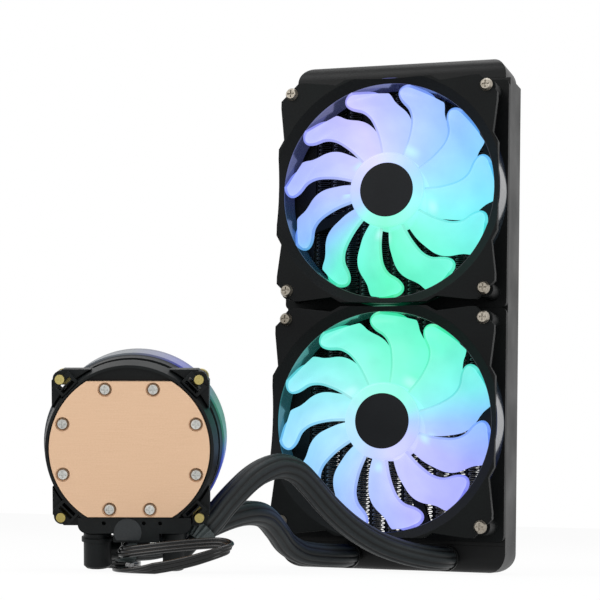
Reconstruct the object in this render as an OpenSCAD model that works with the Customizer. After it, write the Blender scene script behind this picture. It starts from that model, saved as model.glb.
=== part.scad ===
// All in one liquid cooler for a processor: a radiator with two lit fans, a pump block and two hoses.
// Millimetres. The origin is the centre of the radiator's foot, X to the right, Y away from the viewer, Z up.

/* [Fans] */
// Side of the square fan frame
fan_size = 120; // [100:1:140]
// Depth of the fan frame
fan_depth = 25; // [22:1:32]
// Distance of a screw hole from the frame's edges
hole_inset = 7.5; // [7:0.25:9]
// Thickness of the frame's front and rear plates
flange_t = 4; // [3:0.5:5]
// Wall of the clear light ring between the two plates
ring_wall = 3.2; // [2:0.2:4]
// Gap between the blade tips and the light ring
tip_gap = 1.5; // [1:0.1:2.5]
// Number of blades on a rotor
blade_count = 11; // [7:1:13]
// Thickness of a blade
blade_t = 1.6; // [1.2:0.1:2.4]
// Radius of the lit hub
hub_r = 20; // [18:0.5:22]
// Radius of the dark cap on the hub
cap_r = 14.3; // [10:0.1:16]
// Radius of a fan's shaft
fan_shaft_r = 1.5; // [1:0.1:2]

/* [Radiator] */
// Depth of the radiator
rad_depth = 27; // [24:1:45]
// Height of the lower end tank, from the foot to the fans
lower_drop = 16; // [15:0.5:24]
// Width of the upper end tank
upper_tank_w = 115; // [110:1:120]
// Height of the upper end tank above the fans
upper_drop = 14; // [10:1:30]
// Thickness of the side plates
side_t = 1.2; // [1:0.1:2]
// Width of the side plates' flanges
flange_w = 14; // [12:1:18]
// Number of flat coolant tubes
tube_count = 12; // [8:1:14]
// Thickness of a flat tube
tube_t = 2; // [1.6:0.1:2.6]
// Depth of the core, from front to back
core_depth = 18; // [14:1:19]
// Thickness of a cooling fin
fin_t = 0.5; // [0.4:0.1:1]

/* [Pump] */
// Place of the cold plate's centre, left or right
pump_x = -74; // [-90:1:-60]
// Place of the cold plate's centre, towards the viewer
pump_y = -186; // [-200:1:-170]
// Height of the cold plate's centre
pump_z = 54; // [52:0.5:58]
// Turn of the pump to the right
pump_turn = 17.7; // [10:0.1:25]
// Lean of the pump's top towards the viewer
pump_lean = 10.8; // [5:0.1:15]
// Roll of the pump about its own axis
pump_roll = 1.3; // [0:0.1:3]
// Radius of the pump's base ring
base_r = 40.4; // [39:0.1:43]
// Radius of the light ring and cap behind it
cover_r = 41.2; // [40:0.1:43]
// Radius of the cold plate's round sides
plate_r = 35.8; // [34:0.1:37]
// Distance of the cold plate's flat edges from its centre
plate_flat = 30.4; // [29:0.1:31]
// Thickness of the cold plate
plate_t = 3; // [2:0.5:4]
// Distance between neighbouring mounting studs
stud_pitch = 62; // [60:0.5:64]
// Radius of a mounting stud
stud_r = 2.1; // [1.5:0.1:2.4]
// Radius of the pump's fixed shaft
pump_shaft_r = 1.5; // [1:0.1:2]
// Radius of the impeller
impeller_r = 15; // [12:0.5:16]

/* [Hoses] */
// Outer diameter of a hose
hose_d = 12; // [10:0.5:13]
// Width of the flat pump cable
cable_w = 5.4; // [4:0.2:7]
// Thickness of the flat pump cable
cable_t = 1.8; // [1.4:0.1:2.2]

/* [Hidden] */

$fn = 96;
fit = 0.05;
half = fan_size / 2;
hole_at = half - hole_inset;
rad_half = rad_depth / 2;
fan_front = -rad_half - fan_depth;
fans_low = lower_drop;
fans_top = lower_drop + 2 * fan_size;
lower_fan_z = fans_low + half;
upper_fan_z = lower_fan_z + fan_size;
rad_top = fans_top + upper_drop;

// Radii inside a fan
ring_out = half - 0.3;
ring_in = ring_out - ring_wall;
tip_r = ring_in - tip_gap;
flare_r = half + 1.6;
screw_r = 1.7;
frame_hole_r = 2.2;
chamfer_sum = 2 * hole_at + 2;
base_plate_t = 2.6;
led_t = 1.2;
hub_front = 2.2;
hub_back = fan_depth - base_plate_t - led_t - 1.6;
hub_wall = 1.6;
sleeve_r = fan_shaft_r + 1.6;

// The radiator's own levels
header_t = 2;
lower_tank_h = lower_drop - header_t;
upper_tank_z = fans_top + header_t;
tank_wall = 1.6;
tank_round = 8;
corner_round = 10;
core_half = half - side_t - 3.4;
tube_pitch = 2 * core_half / (tube_count + 1);
tube_dip = 1.5;
port_left_x = -22;
port_right_x = 30;
port_z = 7;
port_out = 5;
port_bore_r = 3.4;
thread_r = 1.75;
rear_thread_r = 1.5;

// Levels along the pump's own axis, 0 at the face of the cold plate
ring_front = -0.6;
groove_front = -9;
groove_back = -13;
base_back = -20;
glow_front = -21;
glow_back = -36;
cover_back = -46;
neck_r = 33.5;
plate_gap = 0.5;
seal_out = 26.4;
seal_in = 24.8;
seal_h = 1.2;
chamber_r = impeller_r + 1.5;
chamber_front = -8;
chamber_back = -16;
stud_at = stud_pitch / 2;
boss_r = stud_r + 1.5;
stud_neck_r = stud_r - 0.3;
boss_front = -5;
rib_front = -3.1;
stud_front = -1.2;
ear_front = -5.6;
manifold_top = -31;
manifold_low = -38;
manifold_back = base_back;
pipe_z = -12;
left_pipe_x = -15.9;
right_pipe_x = 18.8;
left_pipe_r = 6.3;
right_pipe_r = 5.2;
bead_y = -42.4;
pipe_bevel = 1.1;
left_spigot_r = 4.4;
right_spigot_r = 3.6;
left_collar_l = 7;
right_collar_l = 7;
plate_screw_at = [[-10.7, 26.8], [10.7, 26.8], [29.7, 11.3], [29.7, -11.3],
    [9, -27], [-9, -27], [-29.7, -11.3], [-29.7, 11.3]];
plate_screw_r = 1.5;
plate_head_r = 2.9;

// Routes of the hoses and of the cable, chosen by hand
front_hose_route = [[-51, -150, 19.5], [-48, -147, 24], [-45, -142.5, 30], [-41, -136, 37], [-37, -128, 43.5],
    [-33, -119, 48], [-29, -110, 50], [-24, -101, 48], [-20, -92, 42], [-15, -82, 33.5], [-9, -72, 25.5],
    [-2, -62, 18.7], [6, -53, 13.5], [15, -45.5, 10], [23, -38, 8], [28, -31.5, 7.2], [30, -25, 7],
    [30, -18.5, 7]];
rear_hose_route = [[-84, -157, 10], [-76, -147, 11], [-67, -137, 15], [-58, -127, 21], [-51, -116, 25.5],
    [-46, -104, 27.5], [-43, -91, 26], [-41.5, -78, 20], [-40.5, -66, 13.5], [-37, -55, 9], [-32, -46, 7.5],
    [-26, -37, 7], [-22, -28, 7], [-22, -18.5, 7]];
cable_route = [[-81, -167, 16], [-80, -173, 12], [-79, -180, 9.5], [-74, -186, 9], [-66, -187, 10],
    [-57, -186.5, 11.3], [-48, -185, 12.5], [-40, -183.5, 13.4], [-32, -182.5, 14], [-27, -184, 13.4],
    [-24, -188.5, 12], [-26, -194, 10.5], [-31, -197.5, 8.5], [-38, -199, 6.2], [-47, -200, 4],
    [-57, -200.5, 2.2], [-67, -199, 1.2], [-74, -193, 1.2], [-77, -183, 1.2], [-79, -172, 1.2],
    [-83, -160, 1.2], [-89.5, -149.5, 1.2]];
hank_at = [-106, -115, 0];
hank_turn = 113;
hank_l = 78;
hank_w = 17;
hank_h = 8;
plug_l = 13;

function unit(v) = v / norm(v);
function bend_x(p, a) = [p.x, p.y * cos(a) - p.z * sin(a), p.y * sin(a) + p.z * cos(a)];
function bend_z(p, a) = [p.x * cos(a) - p.y * sin(a), p.x * sin(a) + p.y * cos(a), p.z];
pump_at = [pump_x, pump_y, pump_z];
function to_row(p) = pump_at + bend_z(bend_x(bend_z(p, pump_roll), 90 + pump_lean), pump_turn);

// Height on the pump's own upright axis that lies r above the floor
function floor_y(x, z, r) =
    let (y = (r + 0.05 - pump_z + z * sin(pump_lean)) / cos(pump_lean))
    (y - x * sin(pump_roll)) / cos(pump_roll);
left_pipe_end = floor_y(left_pipe_x, pipe_z, left_pipe_r * sin(pump_lean) + 0.2);
right_pipe_end = floor_y(right_pipe_x, pipe_z, right_pipe_r * sin(pump_lean) + 0.2);
left_outlet = to_row([left_pipe_x, -48.1, pipe_z]);
right_outlet = to_row([right_pipe_x, -52.8, pipe_z]);

module at_fan(z) { translate([0, fan_front, z]) rotate([90, 0, 0]) children(); }
module at_pump() {
    translate(pump_at) rotate([0, 0, pump_turn]) rotate([90 + pump_lean, 0, 0]) rotate([0, 0, pump_roll])
        children();
}
module slab(z0, z1) { translate([0, 0, min(z0, z1)]) linear_extrude(height = abs(z1 - z0)) children(); }
module disc(r, z0, z1) { slab(z0, z1) circle(r); }
module cone(r0, r1, z0, z1) { translate([0, 0, z0]) cylinder(r1 = r0, r2 = r1, h = z1 - z0); }
module quarters() { for (a = [0:90:270]) rotate(a) children(); }
module fan_holes() { for (x = [-1, 1], y = [-1, 1]) translate([x * hole_at, y * hole_at]) children(); }
module studs() { for (x = [-1, 1], y = [-1, 1]) translate([x * stud_at, y * stud_at]) children(); }

// Points children, drawn along +Z from the origin, from one point towards another
module along(p, q) {
    d = unit(q - p);
    translate(p) rotate([0, acos(d.z), atan2(d.y, d.x)]) children();
}

// A closed tube whose section is swept through a list of points
function heading(path, i) =
    unit(path[min(i + 1, len(path) - 1)] - path[max(i - 1, 0)]);
function ring_at(path, i, section) =
    let (d = heading(path, i), s = unit(cross(d, [0, 0, 1])), u = cross(s, d))
    [for (p = section) path[i] + p.x * s + p.y * u];
module sweep(path, section) {
    n = len(section);
    last = (len(path) - 1) * n;
    points = [for (i = [0:len(path) - 1]) each ring_at(path, i, section)];
    sides = [for (i = [0:len(path) - 2], j = [0:n - 1])
        let (a = i * n + j, b = i * n + (j + 1) % n) each [[a, b, a + n], [b, b + n, a + n]]];
    caps = [for (j = [1:n - 2]) each [[0, j + 1, j], [last, last + j, last + j + 1]]];
    polyhedron(points, concat(sides, caps));
}
function round_section(r, n) = [for (a = [0:360 / n:359]) [r * cos(a), r * sin(a)]];
function flat_section(w, t) =
    let (x = w / 2, y = t / 2, c = t / 3)
    [[x, -y + c], [x, y - c], [x - c, y], [c - x, y], [-x, y - c], [-x, c - y], [c - x, -y], [x - c, -y]];

// An end tank: a pressed shell with round edges, its open side at z = h
module tank_outline(w, h, r) {
    difference() {
        translate([-w / 2, 0]) square([w, h]);
        for (s = [-1, 1]) translate([s * (w / 2 - r), r]) difference() {
            translate([s < 0 ? -r - 1 : 0, -r - 1]) square(r + 1);
            circle(r);
        }
    }
}
module tank_form(w, d, h, r_end, r_face) {
    intersection() {
        rotate([90, 0, 0]) linear_extrude(height = d, center = true) tank_outline(w, h, r_end);
        rotate([90, 0, 90]) linear_extrude(height = w, center = true) tank_outline(d, h, r_face);
    }
}
module tank(w, h, r_end) {
    difference() {
        tank_form(w, rad_depth, h, r_end, tank_round);
        translate([0, 0, tank_wall]) tank_form(w - 2 * tank_wall, rad_depth - 2 * tank_wall, h,
            r_end - tank_wall, tank_round - tank_wall);
    }
}

module lower_tank() {
    color([0.09, 0.1, 0.11]) difference() {
        union() {
            tank(fan_size, lower_tank_h, corner_round);
            for (x = [port_left_x, port_right_x]) translate([x, 0, port_z]) rotate([90, 0, 0]) {
                disc(hose_d / 2 - 0.4, rad_half - tank_wall, rad_half + port_out - 2);
                disc(hose_d / 2 + 0.6, rad_half + port_out - 2, rad_half + port_out);
            }
        }
        for (x = [port_left_x, port_right_x]) translate([x, 0, port_z]) rotate([90, 0, 0])
            disc(port_bore_r, rad_half - tank_wall - 1, rad_half + port_out + 1);
    }
}
module upper_tank() {
    color([0.09, 0.1, 0.11]) translate([0, 0, rad_top]) mirror([0, 0, 1])
        tank(upper_tank_w, upper_drop - header_t, corner_round);
}

function tube_x(i) = -core_half + i * tube_pitch;
module tube_outline(t, d) {
    square([t, d - t], center = true);
    for (s = [-1, 1]) translate([0, s * (d - t) / 2]) circle(t / 2, $fn = 24);
}
module header(z) {
    color([0.12, 0.13, 0.14]) difference() {
        translate([0, 0, z + header_t / 2]) cube([fan_size, rad_depth, header_t], center = true);
        for (i = [1:tube_count]) translate([tube_x(i), 0, 0]) slab(z - 1, z + header_t + 1)
            tube_outline(tube_t, core_depth);
    }
}
module lower_header() { header(lower_tank_h); }
module upper_header() { header(fans_top); }

module coolant_tubes() {
    color([0.13, 0.14, 0.15]) for (i = [1:tube_count]) translate([tube_x(i), 0, 0])
        slab(lower_tank_h - tube_dip, upper_tank_z + tube_dip) difference() {
            tube_outline(tube_t, core_depth);
            tube_outline(tube_t - 0.8, core_depth - 1.2);
        }
}

// Each column of fins is one folded strip that touches the tubes at its folds
fin_span = fans_top - fans_low - 2;
fin_folds = 2 * round(fin_span / 12);
fin_pitch = fin_span / fin_folds;
fin_cut = fin_t * 0.75;
module cooling_fins() {
    color([0.42, 0.44, 0.46]) for (i = [0:tube_count]) {
        a = fin_cut + (i == 0 ? -core_half : tube_x(i) + tube_t / 2);
        b = (i == tube_count ? core_half : tube_x(i + 1) - tube_t / 2) - fin_cut;
        translate([0, core_depth / 2, fans_low + 1]) rotate([90, 0, 0]) linear_extrude(height = core_depth)
            polygon([for (k = [0:fin_folds]) [(k % 2 == 0 ? a : b) - fin_cut, k * fin_pitch],
                for (k = [fin_folds:-1:0]) [(k % 2 == 0 ? a : b) + fin_cut, k * fin_pitch]]);
    }
}

// A side plate is a folded channel whose flanges carry the threaded fan holes
module side_plate(s) {
    color([0.1, 0.11, 0.12]) difference() {
        translate([0, 0, fans_low]) linear_extrude(height = 2 * fan_size) difference() {
            translate([s > 0 ? half - flange_w : -half, -rad_half]) square([flange_w, rad_depth]);
            translate([s > 0 ? half - flange_w - 1 : side_t - half, side_t - rad_half])
                square([flange_w + 1 - side_t, rad_depth - 2 * side_t]);
        }
        for (z = [lower_fan_z, upper_fan_z], e = [-1, 1]) translate([s * hole_at, 0, z + e * hole_at])
            for (hole = [[-rad_half, thread_r], [rad_half, rear_thread_r]]) translate([0, hole[0], 0])
                rotate([90, 0, 0]) cylinder(r = hole[1], h = 2 * side_t + 2, center = true, $fn = 32);
    }
}
module left_side_plate() { side_plate(-1); }
module right_side_plate() { side_plate(1); }

// The fans, each drawn about its own axis with its front face at z = 0 and the viewer at +Z
module front_outline() {
    side = [[half - 1, 0], [half - 1, 23], [half - 3.8, 28], [half - 1.8, 45],
        [half - 1.8, chamfer_sum - half + 1.8]];
    polygon([for (a = [0:90:270]) each [
        for (p = side) [p.x * cos(a) - p.y * sin(a), p.x * sin(a) + p.y * cos(a)],
        for (i = [4:-1:1]) let (p = [side[i].y, side[i].x])
            [p.x * cos(a) - p.y * sin(a), p.x * sin(a) + p.y * cos(a)]]]);
}
module rear_outline() {
    difference() {
        square(fan_size, center = true);
        quarters() translate([half - 3, half - 3]) difference() {
            square(4);
            circle(3);
        }
    }
}
module fan_frame() {
    color([0.09, 0.1, 0.11]) difference() {
        union() {
            difference() {
                slab(-flange_t, 0) front_outline();
                translate([0, 0, -flange_t - 0.01]) cylinder(r1 = ring_in + 0.2, r2 = flare_r, h = flange_t + 0.02);
            }
            slab(-fan_depth, flange_t - fan_depth) difference() {
                rear_outline();
                circle(ring_in + 0.2);
            }
            slab(flange_t - fan_depth, -flange_t) difference() {
                union() {
                    fan_holes() circle(frame_hole_r + 2, $fn = 48);
                    for (a = [45:90:315]) rotate(a) translate([ring_out + 0.2, -3]) square([hole_at * sqrt(2) - ring_out, 6]);
                }
                circle(ring_out + 0.2);
            }
            disc(hub_r, -fan_depth, base_plate_t - fan_depth);
            disc(sleeve_r + 1.4, base_plate_t - fan_depth - 0.1, -hub_front - 6);
            for (a = [20:90:290]) rotate(a) translate([hub_r - 1, -2.6, -fan_depth])
                cube([ring_in - hub_r + 2, 5.2, flange_t]);
        }
        fan_holes() translate([0, 0, -fan_depth - 1]) cylinder(r = frame_hole_r, h = fan_depth + 2, $fn = 32);
        translate([0, 0, base_plate_t - fan_depth - 0.6]) cylinder(r = sleeve_r, h = fan_depth);
    }
}
module fan_light_ring() {
    color([0.72, 0.78, 0.8, 0.6]) slab(flange_t - fan_depth, -flange_t) difference() {
        circle(ring_out);
        circle(ring_in);
    }
}

// The stator has four wound arms on a core pushed over the bearing tube
module fan_stator() {
    z0 = base_plate_t + led_t - fan_depth + 1;
    color([0.72, 0.42, 0.2]) difference() {
        union() {
            disc(8, z0, z0 + 9);
            for (a = [0:90:270]) rotate(a) {
                translate([6, -2.4, z0 + 2]) cube([6.5, 4.8, 5]);
                intersection() {
                    disc(hub_r - hub_wall - 3.6, z0 + 1, z0 + 8);
                    translate([11, -6.5, z0]) cube([8, 13, 9]);
                }
            }
        }
        disc(sleeve_r + 1.4, z0 - 1, z0 + 10);
    }
}
module fan_bearing() {
    color([0.78, 0.62, 0.3]) slab(base_plate_t - fan_depth - 0.6, -hub_front - 6) difference() {
        circle(sleeve_r, $fn = 48);
        circle(fan_shaft_r + fit, $fn = 48);
    }
}
module fan_led_board() {
    z0 = base_plate_t - fan_depth;
    color([0.86, 0.88, 0.86]) difference() {
        union() {
            disc(hub_r - 1, z0, z0 + led_t);
            for (a = [22.5:45:359]) rotate(a) translate([hub_r - hub_wall - 1.8, 0, z0 + led_t + 0.2])
                cube([2.4, 2.4, 1], center = true);
        }
        disc(sleeve_r + 1.4, z0 - 1, z0 + 3);
    }
}

// Blade stations: share of the way from the hub to the tip, then the angles of the leading and trailing edges
blade_stations = [[-0.03, 0, -31], [0.2, 1.6, -27.5], [0.37, 3.6, -23.8], [0.53, 6, -20.5], [0.64, 8.8, -17],
    [0.72, 12, -13.2], [0.79, 16.4, -9], [0.86, 18.9, -6], [0.94, 19.6, -4.2], [1, 18.6, -3.2]];
blade_front = -3.4;
blade_depth = hub_back - 5.4;
function blade_point(r, lead, trail, s, t) =
    let (a = lead + (trail - lead) * s, z = blade_front - blade_depth * (s + 0.35 * s * (1 - s)) - t)
    [r * cos(a), r * sin(a), z];
module fan_blade() {
    cuts = 5;
    n = 2 * cuts;
    last = (len(blade_stations) - 1) * n;
    points = [for (b = blade_stations) let (r = hub_r + b[0] * (tip_r - hub_r)) each [
        for (i = [0:cuts - 1]) let (s = i / (cuts - 1)) blade_point(r, b[1], b[2], s, 0),
        for (i = [cuts - 1:-1:0]) let (s = i / (cuts - 1))
            blade_point(r, b[1], b[2], s, blade_t * (0.55 + 1.8 * s * (1 - s)))]];
    sides = [for (i = [0:len(blade_stations) - 2], j = [0:n - 1])
        let (a = i * n + j, b = i * n + (j + 1) % n) each [[a, a + n, b], [b, a + n, b + n]]];
    caps = [for (j = [0:cuts - 2]) let (m = n - 1 - j) each [
        [j, j + 1, m], [j + 1, m - 1, m],
        [last + j, last + m, last + j + 1], [last + j + 1, last + m, last + m - 1]]];
    polyhedron(points, concat(sides, caps));
}
module fan_rotor() {
    color([0.9, 0.93, 0.96]) difference() {
        union() {
            disc(hub_r, -hub_back, -hub_front);
            for (i = [0:blade_count - 1]) rotate(i * 360 / blade_count) fan_blade();
        }
        disc(hub_r - hub_wall, -hub_back - 1, -hub_front - 2.4);
        disc(cap_r, -hub_front - 0.8, -hub_front + 1);
        disc(fan_shaft_r, -hub_front - 3, -hub_front);
    }
}
module fan_magnet() {
    color([0.3, 0.31, 0.33]) slab(-hub_back + 0.4, -hub_front - 4) difference() {
        circle(hub_r - hub_wall);
        circle(hub_r - hub_wall - 2.6);
    }
}
module fan_shaft() {
    color([0.8, 0.81, 0.83]) disc(fan_shaft_r, base_plate_t - fan_depth + 0.4, -hub_front - 0.8);
}
module fan_hub_cap() {
    color([0.07, 0.08, 0.1]) disc(cap_r - 0.1, -hub_front - 0.8, -hub_front + 0.2);
}

// A pan head screw along +Z, its head's seat at z = 0
module pan_screw(shank_r, head_r, head_h, length) {
    difference() {
        union() {
            cylinder(r1 = head_r, r2 = head_r * 0.72, h = head_h, $fn = 36);
            translate([0, 0, -length]) cylinder(r = shank_r, h = length, $fn = 24);
        }
        translate([0, 0, head_h]) for (a = [0, 90]) rotate(a)
            cube([head_r * 1.1, head_r * 0.24, head_h], center = true);
    }
}
module fan_screws() {
    color([0.66, 0.65, 0.62]) fan_holes() pan_screw(screw_r, 3.4, 2, fan_depth + 3);
}

// The pump, drawn about its own axis with the cold plate's face at z = 0
module plate_outline(r, flat) {
    intersection() {
        circle(r);
        square([2 * r + 2, 2 * flat], center = true);
    }
}
module cold_plate() {
    color([0.86, 0.66, 0.54]) difference() {
        union() {
            slab(-plate_t, 0) plate_outline(plate_r, plate_flat);
            for (x = [-16:2:16]) translate([x - 0.5, -14, -plate_t - 3.4]) cube([1, 28, 3.6]);
        }
        for (p = plate_screw_at) translate([p.x, p.y, 0]) {
            disc(plate_screw_r + 0.2, -plate_t - 1, 1);
            disc(plate_head_r + 0.35, -1.1, 1);
        }
    }
}
module cold_plate_seal() {
    color([0.05, 0.05, 0.05]) slab(-plate_t - seal_h, -plate_t) difference() {
        circle(seal_out);
        circle(seal_in);
    }
}
module cold_plate_screws() {
    color([0.8, 0.8, 0.78]) for (p = plate_screw_at) translate([p.x, p.y, -1.1])
        pan_screw(plate_screw_r, plate_head_r, 1.5, 7);
}
module pump_housing() {
    color([0.1, 0.11, 0.12]) difference() {
        union() {
            cone(base_r - 1.2, base_r - 2.8, groove_front, ring_front);
            disc(neck_r, groove_back - 1, groove_front + 1);
            cone(base_r, base_r - 0.7, base_back, groove_back);
            disc(cover_r - 2.4, glow_front, base_back);
        }
        slab(manifold_back, 1) translate([-base_r, -base_r - 1]) square([2 * base_r, base_r + 1 + manifold_top]);
        disc(plate_r + plate_gap, -plate_t, 1);
        slab(-plate_t - seal_h, -plate_t + 1) difference() {
            circle(seal_out);
            circle(seal_in);
        }
        disc(seal_in - 1.4, -plate_t - 4.4, -plate_t + 1);
        disc(chamber_r, chamber_back, chamber_front);
        disc(4, chamber_front - 1, -plate_t - 4);
        disc(pump_shaft_r, chamber_back - 1.6, chamber_back + 1);
        for (p = plate_screw_at) translate([p.x, p.y, 0]) disc(plate_screw_r, -9, 0);
        for (a = [45:90:315]) rotate(a) translate([plate_r + plate_gap + 0.6, -5.2, groove_front]) cube([9, 10.4, 10]);
        translate([left_pipe_x, 0, pipe_z]) rotate([90, 0, 0]) cylinder(r = 2.5, h = 45);
        translate([right_pipe_x, 0, -7.5]) rotate([90, 0, 0]) cylinder(r = 2, h = 45);
    }
}

// The square bracket sits in the housing's groove; each ear has a boss, two side ribs and a window
module ear_outline() {
    side = stud_at + boss_r + 0.6;
    difference() {
        translate([-side, -side]) square(2 * side);
        quarters() translate([side, side]) rotate(45) square([7, 20], center = true);
    }
}
module mounting_bracket() {
    window = plate_r + plate_gap + 1;
    color([0.1, 0.11, 0.12]) difference() {
        union() {
            slab(groove_back + fit, groove_front - fit) ear_outline();
            slab(groove_front - 0.1, ear_front) difference() {
                ear_outline();
                circle(base_r - 1);
            }
            for (a = [45:90:315]) rotate(a) {
                translate([window, -4.9, groove_front - 0.1])
                    cube([stud_at * sqrt(2) - window, 9.8, rib_front + 0.1 - groove_front]);
                translate([stud_at * sqrt(2), 0, 0]) disc(boss_r, groove_front - 0.1, boss_front);
            }
        }
        disc(neck_r + fit, groove_back - 1, groove_front + 1);
        for (a = [45:90:315]) rotate(a) for (x = [window + 0.9, window + 3.1])
            translate([x, -3.6, groove_back - 1]) cube([1.5, 7.2, 12]);
        studs() disc(stud_neck_r, groove_back - 1, 1);
        slab(groove_back - 1, 0) translate([-24, -2 * base_r]) square([51.8, 2 * base_r + manifold_top]);
    }
}
module mounting_studs() {
    color([0.75, 0.66, 0.38]) studs() {
        disc(stud_neck_r, groove_back + fit, rib_front);
        disc(stud_r, rib_front, stud_front);
        disc(boss_r, groove_back - 3, groove_back + fit);
    }
}

// The block that joins the two hose fittings to the pump
module manifold_outline() {
    difference() {
        translate([-23.4, manifold_low]) square([50.6, manifold_top - manifold_low]);
        for (c = [[-19.4, 1], [23.2, -1]]) translate([c.x, manifold_low + 4]) difference() {
            translate([c.y > 0 ? -5 : 0, -5]) square(5);
            circle(4);
        }
    }
}
module hose_manifold() {
    color([0.12, 0.13, 0.14]) difference() {
        union() {
            slab(manifold_back, ring_front - 0.6) manifold_outline();
            slab(-15, ring_front - 0.6) translate([-7.5, manifold_low - 4]) square([20.4, 5]);
            translate([left_pipe_x, manifold_low + 1, pipe_z]) rotate([90, 0, 0]) cylinder(r = left_pipe_r - 0.6, h = 2.5);
            translate([right_pipe_x, manifold_low + 1, pipe_z]) rotate([90, 0, 0]) cylinder(r = right_pipe_r - 0.6, h = 2.5);
        }
        disc(neck_r + 2.4, groove_back - 1, groove_front + 1);
        translate([left_pipe_x, -20, pipe_z]) rotate([90, 0, 0]) cylinder(r = 2.5, h = 25);
        translate([right_pipe_x, -20, -7.5]) rotate([90, 0, 0]) cylinder(r = 2, h = 16);
        translate([right_pipe_x, -35, pipe_z]) rotate([90, 0, 0]) cylinder(r = 2.5, h = 10);
        translate([right_pipe_x, -36, pipe_z]) cylinder(r = 2, h = 5);
        for (x = [-11.7, 6.2, 13.5]) translate([x, -33.4, -5]) cylinder(r = 0.9, h = 6, $fn = 24);
    }
}
module manifold_disc() {
    color([0.2, 0.21, 0.22]) slab(ring_front - 0.6, ring_front - 0.2) intersection() {
        translate([-1, -37.4]) circle(6.2);
        translate([-10, manifold_low - 3]) square([20, 12]);
    }
}

// A swivel elbow hangs under the manifold and sends its spigot to the hose's collar
module elbow_pipe(x, r, end) {
    top = manifold_low - 1.5;
    at_pump() translate([x, top, pipe_z]) rotate([90, 0, 0]) rotate_extrude($fn = 64)
        polygon([[0, 0], [r, 0], [r, top - end - pipe_bevel], [r - pipe_bevel, top - end], [0, top - end]]);
}
function collar_start(path, length) = path[0] - length * heading(path, 0);
module spigot(outlet, path, length, r) {
    reach = norm(collar_start(path, length) - outlet);
    along(collar_start(path, length + reach), path[0]) cylinder(r = r, h = reach, $fn = 48);
}
module left_elbow() {
    color([0.1, 0.11, 0.12]) union() {
        elbow_pipe(left_pipe_x, left_pipe_r, left_pipe_end);
        at_pump() translate([left_pipe_x, bead_y + 0.9, pipe_z]) rotate([90, 0, 0])
            cylinder(r = left_pipe_r + 0.9, h = 1.8);
        spigot(left_outlet, rear_hose_route, left_collar_l, left_spigot_r);
    }
}
module right_elbow() {
    color([0.1, 0.11, 0.12]) union() {
        elbow_pipe(right_pipe_x, right_pipe_r, right_pipe_end);
        spigot(right_outlet, front_hose_route, right_collar_l, right_spigot_r);
    }
}

// A pleated collar widens from the elbow to the hose
module pleated_collar(path, length, r1) {
    r2 = hose_d / 2 + 0.5;
    start = collar_start(path, length);
    along(start, path[0]) difference() {
        linear_extrude(height = length, scale = r2 / r1)
            polygon([for (a = [0:11.25:359]) (r1 + 0.25 * cos(16 * a)) * [cos(a), sin(a)]]);
        translate([0, 0, -1]) cylinder(r = 2.6, h = length + 2, $fn = 32);
    }
}
module left_hose_collar() {
    color([0.3, 0.33, 0.34]) pleated_collar(rear_hose_route, left_collar_l, left_spigot_r + 1);
}
module right_hose_collar() {
    color([0.3, 0.33, 0.34]) pleated_collar(front_hose_route, right_collar_l, right_spigot_r + 0.8);
}

// The impeller's curved vanes stand on a disc over the ring magnet that the stator turns
module impeller() {
    color([0.85, 0.86, 0.88]) difference() {
        union() {
            disc(impeller_r, -12, -10.8);
            disc(pump_shaft_r + 1.4, -15.4, -8.8);
            for (a = [0:60:300]) rotate(a) slab(-10.9, -8.8) intersection() {
                translate([impeller_r / 2, impeller_r / 2 - 1]) difference() {
                    circle(impeller_r * 0.62);
                    circle(impeller_r * 0.62 - 1.2);
                }
                translate([3, -impeller_r]) square([impeller_r, impeller_r]);
                circle(impeller_r);
            }
        }
        disc(pump_shaft_r + fit, -17, -8);
    }
}
module impeller_magnet() {
    color([0.22, 0.22, 0.24]) slab(-15.4, -12) difference() {
        circle(impeller_r - 3);
        circle(pump_shaft_r + 1.4);
    }
}
module impeller_shaft() {
    color([0.88, 0.88, 0.9]) disc(pump_shaft_r, chamber_back - 1.6, -8.4);
}
module pump_stator() {
    color([0.72, 0.42, 0.2]) difference() {
        union() {
            disc(8, -27, glow_front);
            for (a = [0:60:300]) rotate(a) {
                translate([7, -2, -26]) cube([9, 4, 4]);
                translate([15, -4.5, -27]) cube([3, 9, 6]);
            }
        }
        disc(3, -28, glow_front + 1);
    }
}
module pump_board() {
    color([0.1, 0.3, 0.2]) union() {
        disc(cover_r - 6, -30.6, -29);
        for (a = [0:30:330]) rotate(a) translate([cover_r - 9, 0, -28.6]) cube([3, 3, 1], center = true);
        for (a = [90:120:330]) rotate(a) translate([cover_r - 12, 0, 0]) disc(2.5, -29.1, glow_front);
    }
}
module pump_light_ring() {
    color([0.7, 0.78, 0.85, 0.7]) difference() {
        disc(cover_r, glow_back, glow_front + 0.4);
        disc(cover_r - 2.2, glow_back - 1, glow_front + 2);
    }
}
module pump_cap() {
    color([0.12, 0.13, 0.15]) difference() {
        rotate_extrude() union() {
            translate([0, cover_back]) square([cover_r - 5, glow_back - cover_back]);
            translate([0, cover_back + 5]) square([cover_r, glow_back - cover_back - 5]);
            translate([cover_r - 5, cover_back + 5]) circle(5);
            translate([0, glow_back]) square([cover_r - 2.4, 2]);
        }
        disc(cover_r - 4.6, cover_back + 2.4, glow_back + 3);
    }
}
module wire_connector() {
    color([0.93, 0.93, 0.9]) translate([9, manifold_low - 5.8, -8]) cube([3.6, 1.8, 6.8]);
}

module front_hose() { color([0.09, 0.1, 0.1]) sweep(front_hose_route, round_section(hose_d / 2, 12)); }
module rear_hose() { color([0.09, 0.1, 0.1]) sweep(rear_hose_route, round_section(hose_d / 2, 12)); }
module pump_cable() { color([0.06, 0.06, 0.07]) sweep(cable_route, flat_section(cable_w, cable_t)); }

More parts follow.
